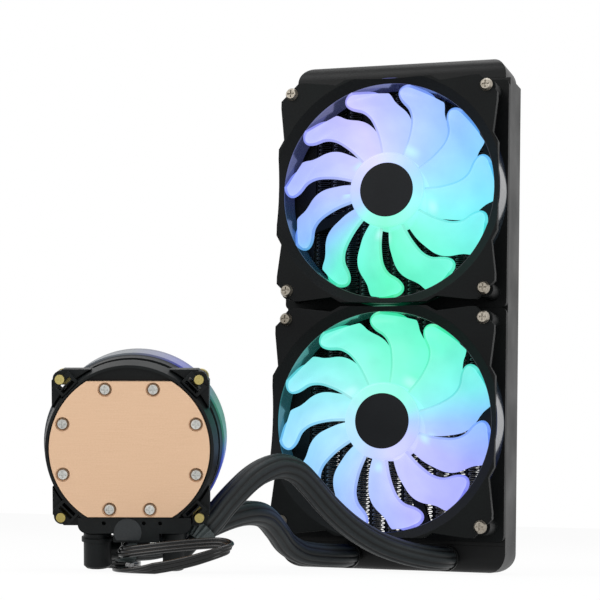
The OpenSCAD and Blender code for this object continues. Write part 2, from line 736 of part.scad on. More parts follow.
// The spare cable is folded into a flat hank behind the pump, with its plug at the far end
module cable_hank() {
    color([0.06, 0.06, 0.07]) translate(hank_at) rotate([0, 0, hank_turn]) slab(0, hank_h) {
        square([hank_l - hank_w, hank_w], center = true);
        for (s = [-1, 1]) translate([s * (hank_l - hank_w) / 2, 0]) circle(hank_w / 2, $fn = 32);
    }
}
module cable_plug() {
    color([0.08, 0.08, 0.09]) translate(hank_at) rotate([0, 0, hank_turn]) difference() {
        translate([hank_l / 2, -4, 0]) cube([plug_l, 8, 6]);
        for (y = [-3, -1, 1, 3]) translate([hank_l / 2 + plug_l - 6, y - 0.6, 2.4]) cube([7, 1.2, 1.4]);
    }
}

lower_tank();
upper_tank();
lower_header();
upper_header();
left_side_plate();
right_side_plate();
coolant_tubes();
cooling_fins();
for (fan = [["upper", upper_fan_z, -1.6], ["lower", lower_fan_z, 12.8]]) at_fan(fan[1]) {
    fan_frame();
    fan_light_ring();
    fan_stator();
    fan_bearing();
    fan_led_board();
    rotate(fan[2]) fan_rotor();
    fan_magnet();
    fan_shaft();
    fan_hub_cap();
    fan_screws();
}
at_pump() {
    pump_housing();
    cold_plate();
    cold_plate_seal();
    cold_plate_screws();
    mounting_bracket();
    mounting_studs();
    hose_manifold();
    manifold_disc();
    impeller();
    impeller_magnet();
    impeller_shaft();
    pump_stator();
    pump_board();
    pump_light_ring();
    pump_cap();
    wire_connector();
}
left_elbow();
right_elbow();
left_hose_collar();
right_hose_collar();
front_hose();
rear_hose();
pump_cable();
cable_hank();
cable_plug();
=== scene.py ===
import math
import bpy
import bmesh
from mathutils import Matrix, Vector


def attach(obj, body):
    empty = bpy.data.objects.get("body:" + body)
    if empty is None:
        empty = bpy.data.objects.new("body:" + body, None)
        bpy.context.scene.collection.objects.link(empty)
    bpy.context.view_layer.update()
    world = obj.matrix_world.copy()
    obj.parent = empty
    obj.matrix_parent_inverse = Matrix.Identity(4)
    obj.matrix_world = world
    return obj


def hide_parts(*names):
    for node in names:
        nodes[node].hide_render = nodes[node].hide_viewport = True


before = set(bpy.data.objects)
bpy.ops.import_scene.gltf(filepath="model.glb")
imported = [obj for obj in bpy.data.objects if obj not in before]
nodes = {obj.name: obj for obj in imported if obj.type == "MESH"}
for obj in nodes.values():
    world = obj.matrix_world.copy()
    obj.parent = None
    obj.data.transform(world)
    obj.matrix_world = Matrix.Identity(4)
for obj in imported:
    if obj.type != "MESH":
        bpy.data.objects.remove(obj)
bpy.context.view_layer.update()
mm = 0.001
print("frame loaded:", len(nodes), "nodes")


def deselectAll():
    if bpy.context.object and bpy.context.object.mode != "OBJECT":
        bpy.ops.object.mode_set(mode="OBJECT")
    bpy.ops.object.select_all(action="DESELECT")


def pick(*pieces):
    deselectAll()
    for piece in pieces:
        piece.select_set(True)
    bpy.context.view_layer.objects.active = pieces[0]


def newest(name):
    piece = bpy.context.object
    piece.name = name
    piece.data.name = name
    return piece


def useModifier(piece, kind, **settings):
    pick(piece)
    modifier = piece.modifiers.new(kind.title(), kind)
    for key, value in settings.items():
        setattr(modifier, key, value)
    bpy.ops.object.modifier_apply(modifier=modifier.name)


# The place goes into the mesh
def settle(piece, angle):
    pick(piece)
    bpy.ops.object.transform_apply(location=True, rotation=True, scale=True)
    bpy.ops.object.shade_smooth_by_angle(angle=math.radians(angle))


def join(pieces, name):
    pick(*pieces)
    bpy.ops.object.join()
    return newest(name)


# Camera, at the photograph's viewing angle
cameraSetup = {
    "place": (0.2504, -0.9240, 0.0266),
    "right": (0.94926, 0.31347, 0.02534),
    "up": (0.01346, -0.121, 0.99256),
    "forward": (-0.31421, 0.94186, 0.11908),
    "lens": 108.05,
}
deselectAll()
bpy.ops.object.camera_add(location=cameraSetup["place"])
camera = newest("camera")
turn = Matrix((cameraSetup["right"], cameraSetup["up"], -Vector(cameraSetup["forward"]))).transposed()
camera.rotation_euler = turn.to_euler()
camera.data.lens = cameraSetup["lens"]
camera.data.sensor_width = 36
camera.data.clip_end = 50
bpy.context.scene.camera = camera
print("camera placed")


def hexColour(text):
    parts = [int(text[i:i + 2], 16) / 255 for i in (1, 3, 5)]
    return tuple(c / 12.92 if c <= 0.04045 else ((c + 0.055) / 1.055) ** 2.4 for c in parts) + (1,)


def addNode(tree, kind, sockets=None, **settings):
    node = tree.nodes.new("ShaderNode" + kind)
    for key, value in settings.items():
        setattr(node, key, value)
    for key, value in (sockets or {}).items():
        if isinstance(value, bpy.types.NodeSocket):
            tree.links.new(value, node.inputs[key])
        else:
            node.inputs[key].default_value = value
    return node


def newMaterial(name):
    material = bpy.data.materials.new(name)
    material.use_nodes = True
    material.node_tree.nodes.clear()
    return material, material.node_tree


def fillRamp(node, stops):
    ramp = node.color_ramp
    while len(ramp.elements) < len(stops):
        ramp.elements.new(0.5)
    for element, (place, colour) in zip(ramp.elements, stops):
        element.position = place
        element.color = hexColour(colour) if isinstance(colour, str) else (colour, colour, colour, 1)


def objectPlace(tree, centre=(0, 0, 0), turnBy=(0, 0, 0)):
    coordinates = addNode(tree, "TexCoord")
    return addNode(tree, "Mapping", {"Vector": coordinates.outputs["Object"], "Location": centre,
                                     "Rotation": turnBy}, vector_type="TEXTURE")


# Noise with grains of a size in mm
def noiseOn(tree, place, size, detail, **sockets):
    return addNode(tree, "TexNoise", {"Vector": place.outputs["Vector"], "Scale": 1 / (size * mm),
                                      "Detail": detail, **sockets})


# Colours by share of a turn round the place's axis
def coloursAround(tree, place, stops):
    around = addNode(tree, "TexGradient", {"Vector": place.outputs["Vector"]}, gradient_type="RADIAL")
    ramp = addNode(tree, "ValToRGB", {"Fac": around.outputs["Fac"]})
    fillRamp(ramp, stops)
    return around, ramp


# A value taken from one range to another
def rescale(tree, value, fromRange, toRange, **settings):
    return addNode(tree, "MapRange", {"Value": value, "From Min": fromRange[0], "From Max": fromRange[1],
                                      "To Min": toRange[0], "To Max": toRange[1]}, **settings)


def multiplyColours(tree, first, second):
    return addNode(tree, "Mix", {"Factor": 1, 6: first.outputs["Color"], 7: second.outputs["Color"]},
                   data_type="RGBA", blend_type="MULTIPLY")


# Each finish: two close tones, grain size in mm, bump, roughness, metal, edge softening in mm, gloss
finishes = {
    # powder coat on sheet and cast aluminium: a fine orange peel that breaks up the highlights
    "powderCoatedAluminium": dict(dark="#040505", light="#090b0c", grain=0.9, bump=0.12,
                                  rough=(0.36, 0.5), soft=0.5, gloss=0.2),
    # painted flat tubes, smoother
    "paintedTube": dict(dark="#050607", light="#0b0d0e", grain=1.5, bump=0.05,
                        rough=(0.4, 0.55), soft=0.2, gloss=0.15),
    # glass-filled PBT, spark-eroded mould: matt with a faint grey-green cast
    "texturedPbt": dict(dark="#08090a", light="#101313", grain=0.7, bump=0.14,
                        rough=(0.42, 0.56), soft=0.45, gloss=0.1),
    # smooth moulded ABS of the hub caps: nearly even, a soft sheen
    "satinAbs": dict(dark="#0d0f12", light="#14171a", grain=0.5, bump=0.05,
                     rough=(0.4, 0.48), soft=0.3, gloss=0.15),
    # moulded nylon of the bracket and the housing: satin, lighter in patches
    "mouldedNylon": dict(dark="#0b0d0e", light="#15191a", grain=0.6, bump=0.1,
                         rough=(0.38, 0.5), soft=0.35, gloss=0.16),
    # nickel-plated machine screws, dulled by handling
    "dullNickel": dict(dark="#837c70", light="#b5aea2", grain=0.8, bump=0.05,
                       rough=(0.3, 0.45), metal=1, soft=0.15),
    # zinc-plated pan screws, bright
    "brightZinc": dict(dark="#a9a9a5", light="#d8d8d3", grain=0.6, bump=0.05,
                       rough=(0.26, 0.4), metal=1, soft=0.15),
    # turned brass, pale, with a matt face
    "turnedBrass": dict(dark="#9c8c4e", light="#c9bb7c", grain=0.35, bump=0.08,
                        rough=(0.32, 0.46), metal=1, soft=0.2),
    # silicone gasket cord
    "siliconeSeal": dict(dark="#0d0e0f", light="#161819", grain=0.8, bump=0.05, rough=(0.55, 0.7), soft=0.1),
    # TPE of the pleated collars: grey with a green tone, powdery
    "greyElastomer": dict(dark="#2a3132", light="#4a5555", grain=0.7, bump=0.1, rough=(0.5, 0.65), soft=0.3),
    # fibreglass board with a solder mask
    "solderMask": dict(dark="#0f3a26", light="#17563a", grain=1.2, bump=0.05, rough=(0.3, 0.4), soft=0.1),
    # white solder mask under the lamps, which sends the light forward
    "whiteMask": dict(dark="#c4cbd2", light="#e6ebf0", grain=1.2, bump=0.03, rough=(0.35, 0.45), soft=0.1),
    # enamelled copper wire, packed in turns
    "enamelledWinding": dict(dark="#6d3416", light="#a4562a", grain=0.35, bump=0.4,
                             rough=(0.3, 0.45), metal=1, soft=0.1),
    # sintered bronze of the bearing sleeve: grainy and dull
    "sinteredBronze": dict(dark="#7c5f38", light="#9d7d4e", grain=0.25, bump=0.2,
                           rough=(0.4, 0.55), metal=1, soft=0.1),
    # ground steel shafts
    "groundSteel": dict(dark="#8f9396", light="#bfc3c6", grain=0.25, bump=0.04,
                        rough=(0.18, 0.28), metal=1, soft=0.1),
    # bonded ferrite: dark, dull and slightly grainy
    "bondedFerrite": dict(dark="#1f2022", light="#2f3033", grain=0.4, bump=0.15, rough=(0.5, 0.6), soft=0.1),
    # white acetal of the impeller
    "whiteAcetal": dict(dark="#cfd0cb", light="#e6e7e2", grain=1, bump=0.03, rough=(0.3, 0.4), soft=0.2),
    # ivory nylon of the small connector
    "ivoryNylon": dict(dark="#c9cdc9", light="#eef1ee", grain=0.8, bump=0.04, rough=(0.35, 0.45), soft=0.15),
    # polyester disc: smooth and a little lighter than the plastic
    "plainPolyester": dict(dark="#222527", light="#2c3032", grain=0.8, bump=0.03,
                           rough=(0.3, 0.38), soft=0.1, gloss=0.3),
}


def plainFinish(name):
    look = finishes[name]
    material, tree = newMaterial(name)
    place = objectPlace(tree)
    grain = noiseOn(tree, place, look["grain"], 3, Roughness=0.6)
    cloud = noiseOn(tree, place, 28, 4)
    blend = addNode(tree, "Math", {0: grain.outputs["Fac"], 1: cloud.outputs["Fac"]}, operation="MULTIPLY")
    tone = addNode(tree, "ValToRGB", {"Fac": blend.outputs["Value"]})
    fillRamp(tone, [(0.14, look["dark"]), (0.38, look["light"])])
    rough = rescale(tree, cloud.outputs["Fac"], (0.3, 0.7), look["rough"])
    edge = addNode(tree, "Bevel", {"Radius": look["soft"] * mm}, samples=4)
    bump = addNode(tree, "Bump", {"Strength": look["bump"], "Distance": look["grain"] * mm * 0.3,
                                  "Height": grain.outputs["Fac"], "Normal": edge.outputs["Normal"]})
    shader = addNode(tree, "BsdfPrincipled", {
        "Base Color": tone.outputs["Color"], "Roughness": rough.outputs["Result"],
        "Metallic": look.get("metal", 0), "Specular IOR Level": look.get("gloss", 0.5),
        "Normal": bump.outputs["Normal"]})
    addNode(tree, "OutputMaterial", {"Surface": shader.outputs["BSDF"]})
    return material


materials = {name: plainFinish(name) for name in finishes}

pumpPose = {"place": (-0.074, -0.186, 0.054), "turn": 17.7, "lean": 100.8, "roll": 1.3}
pumpTurn = (Matrix.Rotation(math.radians(pumpPose["turn"]), 3, "Z")
            @ Matrix.Rotation(math.radians(pumpPose["lean"]), 3, "X")
            @ Matrix.Rotation(math.radians(pumpPose["roll"]), 3, "Z"))


# Copper cold plate: milled, then brushed along one way, pale and slightly pink, so it glows softly
def brushedCopper():
    material, tree = newMaterial("brushedCopper")
    place = objectPlace(tree, pumpPose["place"], pumpTurn.to_euler())
    streakPlace = addNode(tree, "Mapping", {"Vector": place.outputs["Vector"], "Scale": (60, 2600, 60)})
    streaks = addNode(tree, "TexNoise", {"Vector": streakPlace.outputs["Vector"], "Scale": 1, "Detail": 3})
    specks = noiseOn(tree, place, 0.7, 2)
    cloud = noiseOn(tree, place, 22, 3)
    mixed = addNode(tree, "Mix", {"Factor": 0.5, 2: streaks.outputs["Fac"], 3: specks.outputs["Fac"]},
                    data_type="FLOAT")
    tone = addNode(tree, "ValToRGB", {"Fac": mixed.outputs[0]})
    fillRamp(tone, [(0.3, "#cfa988"), (0.7, "#e2c0a0")])
    stained = addNode(tree, "Mix", {"Factor": cloud.outputs["Fac"], 6: tone.outputs["Color"],
                                    7: hexColour("#dcb897")}, data_type="RGBA")
    bump = addNode(tree, "Bump", {"Strength": 0.12, "Distance": 0.0001, "Height": mixed.outputs[0]})
    shader = addNode(tree, "BsdfPrincipled", {"Base Color": stained.outputs[2], "Metallic": 0.35,
                                              "Roughness": 0.5, "Normal": bump.outputs["Normal"]})
    addNode(tree, "OutputMaterial", {"Surface": shader.outputs["BSDF"]})
    return material


# Colours that the lamps throw, by share of a turn from the left side, anticlockwise as the viewer sees it
fanLight = {
    "upper": {
        "centre": (0, -0.026, 0.196),
        "blades": [(0, "#b4c2ff"), (0.08, "#9cc6fd"), (0.15, "#7af5dc"), (0.25, "#6ef5c8"),
                   (0.36, "#7cf7dc"), (0.45, "#86f2f4"), (0.52, "#92e2ff"), (0.62, "#9fcdff"),
                   (0.72, "#b6c9ff"), (0.82, "#cfcbff"), (1, "#b4c2ff")],
        "band": [(0, "#6f7cf4"), (0.05, "#3a9be0"), (0.11, "#2e88c8"), (0.18, "#0d9e68"),
                 (0.28, "#0a3a2c"), (0.42, "#061a1a"), (0.52, "#0a1430"), (0.62, "#1c3a8c"),
                 (0.72, "#5a62e8"), (0.82, "#a0a4fd"), (0.92, "#8f96fb"), (1, "#6f7cf4")],
    },
    "lower": {
        "centre": (0, -0.026, 0.076),
        "blades": [(0, "#a8e4fd"), (0.1, "#a6d8ff"), (0.2, "#b4c8ff"), (0.3, "#c3c4ff"),
                   (0.42, "#b4b8ff"), (0.5, "#9cc4ff"), (0.56, "#86f0ec"), (0.66, "#78fbd4"),
                   (0.76, "#7cf8d4"), (0.86, "#8ef4e6"), (1, "#a8e4fd")],
        "band": [(0, "#52e0ee"), (0.1, "#3a86e2"), (0.22, "#2c48b4"), (0.34, "#2a34b0"),
                 (0.45, "#101a60"), (0.54, "#0a1c3c"), (0.64, "#0a6a50"), (0.74, "#12b478"),
                 (0.84, "#46dcc0"), (0.93, "#5ae7e7"), (1, "#52e0ee")],
    },
}


# How the light runs out along a blade, and fades on the clear ring and behind its lip, in mm
bladeGlow = {"root": 16, "tip": 56, "rootDepth": 0.85, "tipDepth": 1.25, "rimShadeDepth": 2.0,
             "unevenness": (0.93, 1.05)}
ringGlow = {"wall": 57.2, "flange": 60.4, "wallLevel": 0.4, "lipFront": -38.3, "lipBack": -32.5, "behind": 0.16}
# The hub's lamps, in mm: a painted glint of their light on the roots of the blades in front of each
hubLamps = {"count": 9, "ring": 23.5, "reach": 4.5, "spread": 0.3, "share": 0.55, "colour": "#c8ffff"}


# The place round a fan's axis, x to the right and y up, and the distance from the axis
def aroundFan(tree, centre):
    place = objectPlace(tree, centre, (math.radians(90), 0, 0))
    flat = addNode(tree, "VectorMath", {0: place.outputs["Vector"], 1: (1, 1, 0)}, operation="MULTIPLY")
    away = addNode(tree, "VectorMath", {0: flat.outputs["Vector"]}, operation="LENGTH")
    return place, away.outputs["Value"]


# Frosted polycarbonate lit from the hub: milky, brightest at the root, richer in colour towards the tip
def frostedPolycarbonate(name, look, brightness, shadedRim=False):
    material, tree = newMaterial(name)
    place, away = aroundFan(tree, look["centre"])
    around, ramp = coloursAround(tree, place, look["blades"])
    # for the rims the colour deepens further towards the tip: painted shade on the blades' rims
    tipDepth = bladeGlow["rimShadeDepth"] if shadedRim else bladeGlow["tipDepth"]
    toTip = rescale(tree, away, (bladeGlow["root"] * mm, bladeGlow["tip"] * mm),
                    (bladeGlow["rootDepth"], tipDepth))
    deeper = addNode(tree, "Gamma", {"Color": ramp.outputs["Color"], "Gamma": toTip.outputs["Result"]})
    milk = noiseOn(tree, place, 14, 2)
    level = rescale(tree, milk.outputs["Fac"], (0.3, 0.7),
                    [brightness * side for side in bladeGlow["unevenness"]])
    # painted glint: pale lamp colour mixed into the glow near the ring of lamps, at each lamp's turn
    turns = addNode(tree, "Math", {0: around.outputs["Fac"], 1: hubLamps["count"]}, operation="MULTIPLY")
    within = addNode(tree, "Math", {0: turns.outputs["Value"], 1: 1}, operation="PINGPONG")
    beside = rescale(tree, within.outputs["Value"], (0, hubLamps["spread"]), (1, 0),
                     interpolation_type="SMOOTHSTEP")
    outside = addNode(tree, "Math", {0: away, 1: hubLamps["ring"] * mm}, operation="SUBTRACT")
    apart = addNode(tree, "Math", {0: outside.outputs["Value"]}, operation="ABSOLUTE")
    near = rescale(tree, apart.outputs["Value"], (0, hubLamps["reach"] * mm), (hubLamps["share"], 0),
                   interpolation_type="SMOOTHSTEP")
    spot = addNode(tree, "Math", {0: beside.outputs["Result"], 1: near.outputs["Result"]}, operation="MULTIPLY")
    lit = addNode(tree, "Mix", {"Factor": spot.outputs["Value"], 6: deeper.outputs["Color"],
                                7: hexColour(hubLamps["colour"])}, data_type="RGBA")
    bump = addNode(tree, "Bump", {"Strength": 0.05, "Distance": 0.0002, "Height": milk.outputs["Fac"]})
    shader = addNode(tree, "BsdfPrincipled", {
        "Base Color": hexColour("#3c4450"), "Roughness": 0.42, "Normal": bump.outputs["Normal"],
        "Emission Color": lit.outputs[2], "Emission Strength": level.outputs["Result"]})
    addNode(tree, "OutputMaterial", {"Surface": shader.outputs["BSDF"]})
    return material


# Clear acrylic ring: the lit inner wall glows, the flange outside it takes the colour only faintly
def litAcrylic(name, look):
    material, tree = newMaterial(name)
    place, away = aroundFan(tree, look["centre"])
    ramp = coloursAround(tree, place, look["band"])[1]
    fade = rescale(tree, away, (ringGlow["wall"] * mm, ringGlow["flange"] * mm), (ringGlow["wallLevel"], 1))
    depth = addNode(tree, "SeparateXYZ", {"Vector": addNode(tree, "TexCoord").outputs["Object"]})
    lip = rescale(tree, depth.outputs["Y"], (ringGlow["lipFront"] * mm, ringGlow["lipBack"] * mm),
                  (1, ringGlow["behind"]))
    glow = addNode(tree, "Math", {0: fade.outputs["Result"], 1: lip.outputs["Result"]}, operation="MULTIPLY")
    cloud = noiseOn(tree, place, 9, 2)
    tone = addNode(tree, "ValToRGB", {"Fac": cloud.outputs["Fac"]})
    fillRamp(tone, [(0.3, "#20262b"), (0.7, "#2c343a")])
    shader = addNode(tree, "BsdfPrincipled", {
        "Base Color": tone.outputs["Color"], "Roughness": 0.2, "IOR": 1.49, "Coat Weight": 0.3,
        "Emission Color": ramp.outputs["Color"], "Emission Strength": glow.outputs["Value"]})
    addNode(tree, "OutputMaterial", {"Surface": shader.outputs["BSDF"]})
    return material


# Pump's lit parts: pearl polycarbonate, lit in patches of blue and green round the axis
def pearlPolycarbonate(name, stops, base, brightness):
    material, tree = newMaterial(name)
    place = objectPlace(tree, pumpPose["place"], pumpTurn.to_euler())
    ramp = coloursAround(tree, place, stops)[1]
    cloud = noiseOn(tree, place, 12, 2)
    level = rescale(tree, cloud.outputs["Fac"], (0.3, 0.7), (brightness * 0.9, brightness * 1.08))
    edge = addNode(tree, "Bevel", {"Radius": 0.8 * mm}, samples=4)
    shader = addNode(tree, "BsdfPrincipled", {
        "Base Color": hexColour(base), "Roughness": 0.36, "Normal": edge.outputs["Normal"],
        "Emission Color": ramp.outputs["Color"], "Emission Strength": level.outputs["Result"]})
    addNode(tree, "OutputMaterial", {"Surface": shader.outputs["BSDF"]})
    return material


# Folded aluminium fins, black: a painted highlight where the folds bend at one side of each column, a fainter
# one at the other side, dark between
def foldedAluminium():
    material, tree = newMaterial("foldedAluminium")
    place = objectPlace(tree)
    speck = noiseOn(tree, place, 1.1, 2)
    bend = addNode(tree, "UVMap", uv_map="acrossColumn")
    across = addNode(tree, "SeparateXYZ", {"Vector": bend.outputs["UV"]})
    # painted highlight: light grey at one side of each column, near black across the middle, a little lighter
    # at the other side
    paintedBendHighlight = addNode(tree, "ValToRGB", {"Fac": across.outputs["X"]})
    fillRamp(paintedBendHighlight, [(0, "#7c7f82"), (0.14, "#5c6063"), (0.3, "#121416"), (0.85, "#08090a"), (1, "#1c1f21")])
    tone = addNode(tree, "ValToRGB", {"Fac": speck.outputs["Fac"]})
    fillRamp(tone, [(0.3, 0.55), (0.6, 1.0)])
    colour = multiplyColours(tree, paintedBendHighlight, tone)
    shader = addNode(tree, "BsdfPrincipled", {
        "Base Color": colour.outputs[2], "Metallic": 0.4, "Roughness": 0.42})
    addNode(tree, "OutputMaterial", {"Surface": shader.outputs["BSDF"]})
    return material


# EPDM hose: matt black rubber, with a painted highlight on the crests of its ribs and painted shade in the
# valleys
def ribbedRubber():
    material, tree = newMaterial("ribbedRubber")
    place = objectPlace(tree)
    crest = addNode(tree, "UVMap", uv_map="aroundHose")
    split = addNode(tree, "SeparateXYZ", {"Vector": crest.outputs["UV"]})
    dust = noiseOn(tree, place, 2.5, 4)
    # painted light: lighter on the rib crests, darker in the valleys between them
    wave = addNode(tree, "ValToRGB", {"Fac": split.outputs["Y"]})
    fillRamp(wave, [(0, "#050606"), (0.45, "#101314"), (1, "#23292b")])
    mottled = addNode(tree, "ValToRGB", {"Fac": dust.outputs["Fac"]})
    fillRamp(mottled, [(0.3, 0.8), (0.7, 1.0)])
    colour = multiplyColours(tree, wave, mottled)
    bump = addNode(tree, "Bump", {"Strength": 0.1, "Distance": 0.0002, "Height": dust.outputs["Fac"]})
    shader = addNode(tree, "BsdfPrincipled", {
        "Base Color": colour.outputs[2], "Roughness": 0.48, "Specular IOR Level": 0.22,
        "Normal": bump.outputs["Normal"]})
    addNode(tree, "OutputMaterial", {"Surface": shader.outputs["BSDF"]})
    return material


# PVC wire: smooth, black and glossy, with faint waviness from the extruder
def glossyPvc():
    material, tree = newMaterial("glossyPvc")
    place = objectPlace(tree)
    wave = noiseOn(tree, place, 4, 2)
    tone = addNode(tree, "ValToRGB", {"Fac": wave.outputs["Fac"]})
    fillRamp(tone, [(0.3, "#040505"), (0.7, "#0b0c0d")])
    bump = addNode(tree, "Bump", {"Strength": 0.08, "Distance": 0.0003, "Height": wave.outputs["Fac"]})
    shader = addNode(tree, "BsdfPrincipled", {
        "Base Color": tone.outputs["Color"], "Roughness": 0.24, "IOR": 1.53, "Specular IOR Level": 0.3,
        "Normal": bump.outputs["Normal"]})
    addNode(tree, "OutputMaterial", {"Surface": shader.outputs["BSDF"]})
    return material


materials["brushedCopper"] = brushedCopper()
materials["foldedAluminium"] = foldedAluminium()
materials["ribbedRubber"] = ribbedRubber()
materials["glossyPvc"] = glossyPvc()
for fan, look in fanLight.items():
    materials[fan + "Blades"] = frostedPolycarbonate(fan + "FrostedPolycarbonate", look, 1.0)
    # the rims get a dimmer copy of the glow with deeper colour: painted shade along the blade edges
    materials[fan + "Edges"] = frostedPolycarbonate(fan + "FrostedShadedRim", look, 0.85, shadedRim=True)
    materials[fan + "Ring"] = litAcrylic(fan + "LitAcrylic", look)
pumpGlow = [(0, "#14181c"), (0.3, "#0d1018"), (0.42, "#1a2fb0"), (0.47, "#2b50e0"), (0.51, "#14806a"),
            (0.57, "#1f9474"), (0.61, "#2d6a9c"), (0.66, "#4a52c8"), (0.7, "#6e74a8"), (0.76, "#73797f"),
            (0.86, "#4c535a"), (1, "#14181c")]
materials["pumpRing"] = pearlPolycarbonate("pearlPolycarbonateRing", pumpGlow, "#2c3036", 0.55)
materials["pumpCap"] = pearlPolycarbonate("pearlPolycarbonateCap", pumpGlow, "#24282c", 0.42)
print("materials made:", len(materials))


def dress(finish, *names):
    for name in names:
        piece = nodes[name]
        if not piece.material_slots:
            piece.data.materials.append(None)
        for slot in piece.material_slots:
            slot.material = materials[finish]


dress("powderCoatedAluminium", "lower_tank", "upper_tank", "lower_header", "upper_header", "left_side_plate",
      "right_side_plate")
dress("paintedTube", "coolant_tubes")
for fan in ("upper", "lower"):
    dress("texturedPbt", fan + "_fan_frame")
    dress(fan + "Ring", fan + "_fan_light_ring")
    dress("enamelledWinding", fan + "_fan_stator")
    dress("sinteredBronze", fan + "_fan_bearing")
    dress("whiteMask", fan + "_fan_led_board")
    dress("dullNickel", fan + "_fan_screws")
    dress("bondedFerrite", fan + "_fan_magnet")
    dress("groundSteel", fan + "_fan_shaft")
    dress("satinAbs", fan + "_fan_hub_cap")
dress("mouldedNylon", "pump_housing", "mounting_bracket", "hose_manifold", "left_elbow", "right_elbow")
dress("brushedCopper", "cold_plate")
dress("siliconeSeal", "cold_plate_seal")
dress("brightZinc", "cold_plate_screws")
dress("turnedBrass", "mounting_studs")
dress("plainPolyester", "manifold_disc")
dress("greyElastomer", "left_hose_collar", "right_hose_collar")
dress("whiteAcetal", "impeller")
dress("bondedFerrite", "impeller_magnet")
dress("groundSteel", "impeller_shaft")
dress("enamelledWinding", "pump_stator")
dress("solderMask", "pump_board")
dress("pumpRing", "pump_light_ring")
dress("pumpCap", "pump_cap")
dress("ivoryNylon", "wire_connector")
dress("glossyPvc", "cable_plug")


# A curve through the points, evenly spaced
def smoothLine(points, step):
    points = [Vector(p) for p in points]
    fine = []
    for i in range(len(points) - 1):
        before = points[i - 1] if i else points[0] * 2 - points[1]
        after = points[i + 2] if i + 2 < len(points) else points[-1] * 2 - points[-2]
        a, b = points[i], points[i + 1]
        for k in range(24):
            t = k / 24
            fine.append(0.5 * ((2 * a) + (b - before) * t + (2 * before - 5 * a + 4 * b - after) * t * t
                               + (3 * a - before - 3 * b + after) * t ** 3))
    fine.append(points[-1])
    total = sum((fine[i + 1] - fine[i]).length for i in range(len(fine) - 1))
    count = max(2, round(total / step))
    line, walked, i = [fine[0]], 0.0, 0
    for k in range(1, count):
        goal = total * k / count
        while walked + (fine[i + 1] - fine[i]).length < goal:
            walked += (fine[i + 1] - fine[i]).length
            i += 1
        span = (fine[i + 1] - fine[i]).length
        line.append(fine[i].lerp(fine[i + 1], (goal - walked) / span))
    line.append(fine[-1])
    return line


def lineLength(line):
    return sum((line[i + 1] - line[i]).length for i in range(len(line) - 1))


# A section of (side, up) points carried along a line, without twist. One with a tilt stays level but for it
def tubeAlong(name, line, section, tilt=None, heights=None):
    mesh = bpy.data.meshes.new(name)
    shell = bmesh.new()
    uvLayer = shell.loops.layers.uv.new("aroundHose")
    side = None
    rings = []
    for i, point in enumerate(line):
        ahead = (line[min(i + 1, len(line) - 1)] - line[max(i - 1, 0)]).normalized()
        if tilt:
            side = Matrix.Rotation(tilt[i], 3, ahead) @ ahead.cross(Vector((0, 0, 1))).normalized()
        else:
            side = side - ahead * side.dot(ahead) if side else ahead.cross(Vector((0, 0, 1)))
            side.normalize()
        up = side.cross(ahead)
        rings.append([shell.verts.new(point + side * x + up * y) for x, y in section])
    n = len(section)
    for i in range(len(rings) - 1):
        for k in range(n):
            m = (k + 1) % n
            face = shell.faces.new((rings[i][k], rings[i][m], rings[i + 1][m], rings[i + 1][k]))
            face.smooth = True
            if heights:
                values = (heights[k], heights[m], heights[m], heights[k])
                for loop, value in zip(face.loops, values):
                    loop[uvLayer].uv = (k / n, value)
    shell.faces.new(rings[0])
    shell.faces.new(list(reversed(rings[-1])))
    bmesh.ops.recalc_face_normals(shell, faces=shell.faces)
    shell.to_mesh(mesh)
    shell.free()
    piece = bpy.data.objects.new(name, mesh)
    bpy.context.scene.collection.objects.link(piece)
    return piece


# Rubber hoses, in mm: eleven ribs run along each, from the pump's collar to the radiator's port
hose = {"radius": 6.0, "ribs": 11, "ribDepth": 0.42, "ribShape": 0.7, "sides": 110, "step": 2.5}
hoseSection, hoseHeights = [], []
for k in range(hose["sides"]):
    angle = 2 * math.pi * k / hose["sides"]
    crest = abs(math.cos(hose["ribs"] * angle / 2)) ** hose["ribShape"]      # round ribs with narrow valleys
    radius = (hose["radius"] - hose["ribDepth"] * (1 - crest)) * mm
    hoseSection.append((radius * math.cos(angle), radius * math.sin(angle)))
    hoseHeights.append(crest)

hoseRoutes = {
    "frontHose": ("front_hose", [
        (-51, -150, 19.5), (-48, -147, 24), (-45, -142.5, 30), (-41, -136, 37), (-37, -128, 43.5),
        (-33, -119, 48), (-29, -110, 50), (-24, -101, 48), (-20, -92, 42), (-15, -82, 33.5),
        (-9, -72, 25.5), (-2, -62, 18.7), (6, -53, 13.5), (15, -45.5, 10), (23, -38, 8),
        (28, -31.5, 7.2), (30, -25, 7), (30, -18.5, 7)]),
    "rearHose": ("rear_hose", [
        (-84, -157, 10), (-76, -147, 11), (-67, -137, 15), (-58, -127, 21), (-51, -116, 25.5),
        (-46, -104, 27.5), (-43, -91, 26), (-41.5, -78, 20), (-40.5, -66, 13.5), (-37, -55, 9),
        (-32, -46, 7.5), (-26, -37, 7), (-22, -28, 7), (-22, -18.5, 7)]),
}
for name, (cadNode, route) in hoseRoutes.items():
    line = smoothLine([Vector(p) * mm for p in route], hose["step"] * mm)
    piece = tubeAlong(name, line, hoseSection, heights=hoseHeights)
    piece.data.materials.append(materials["ribbedRubber"])
    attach(piece, "cooler")
    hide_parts(cadNode)
    print(name, "length", round(lineLength(line), 4))

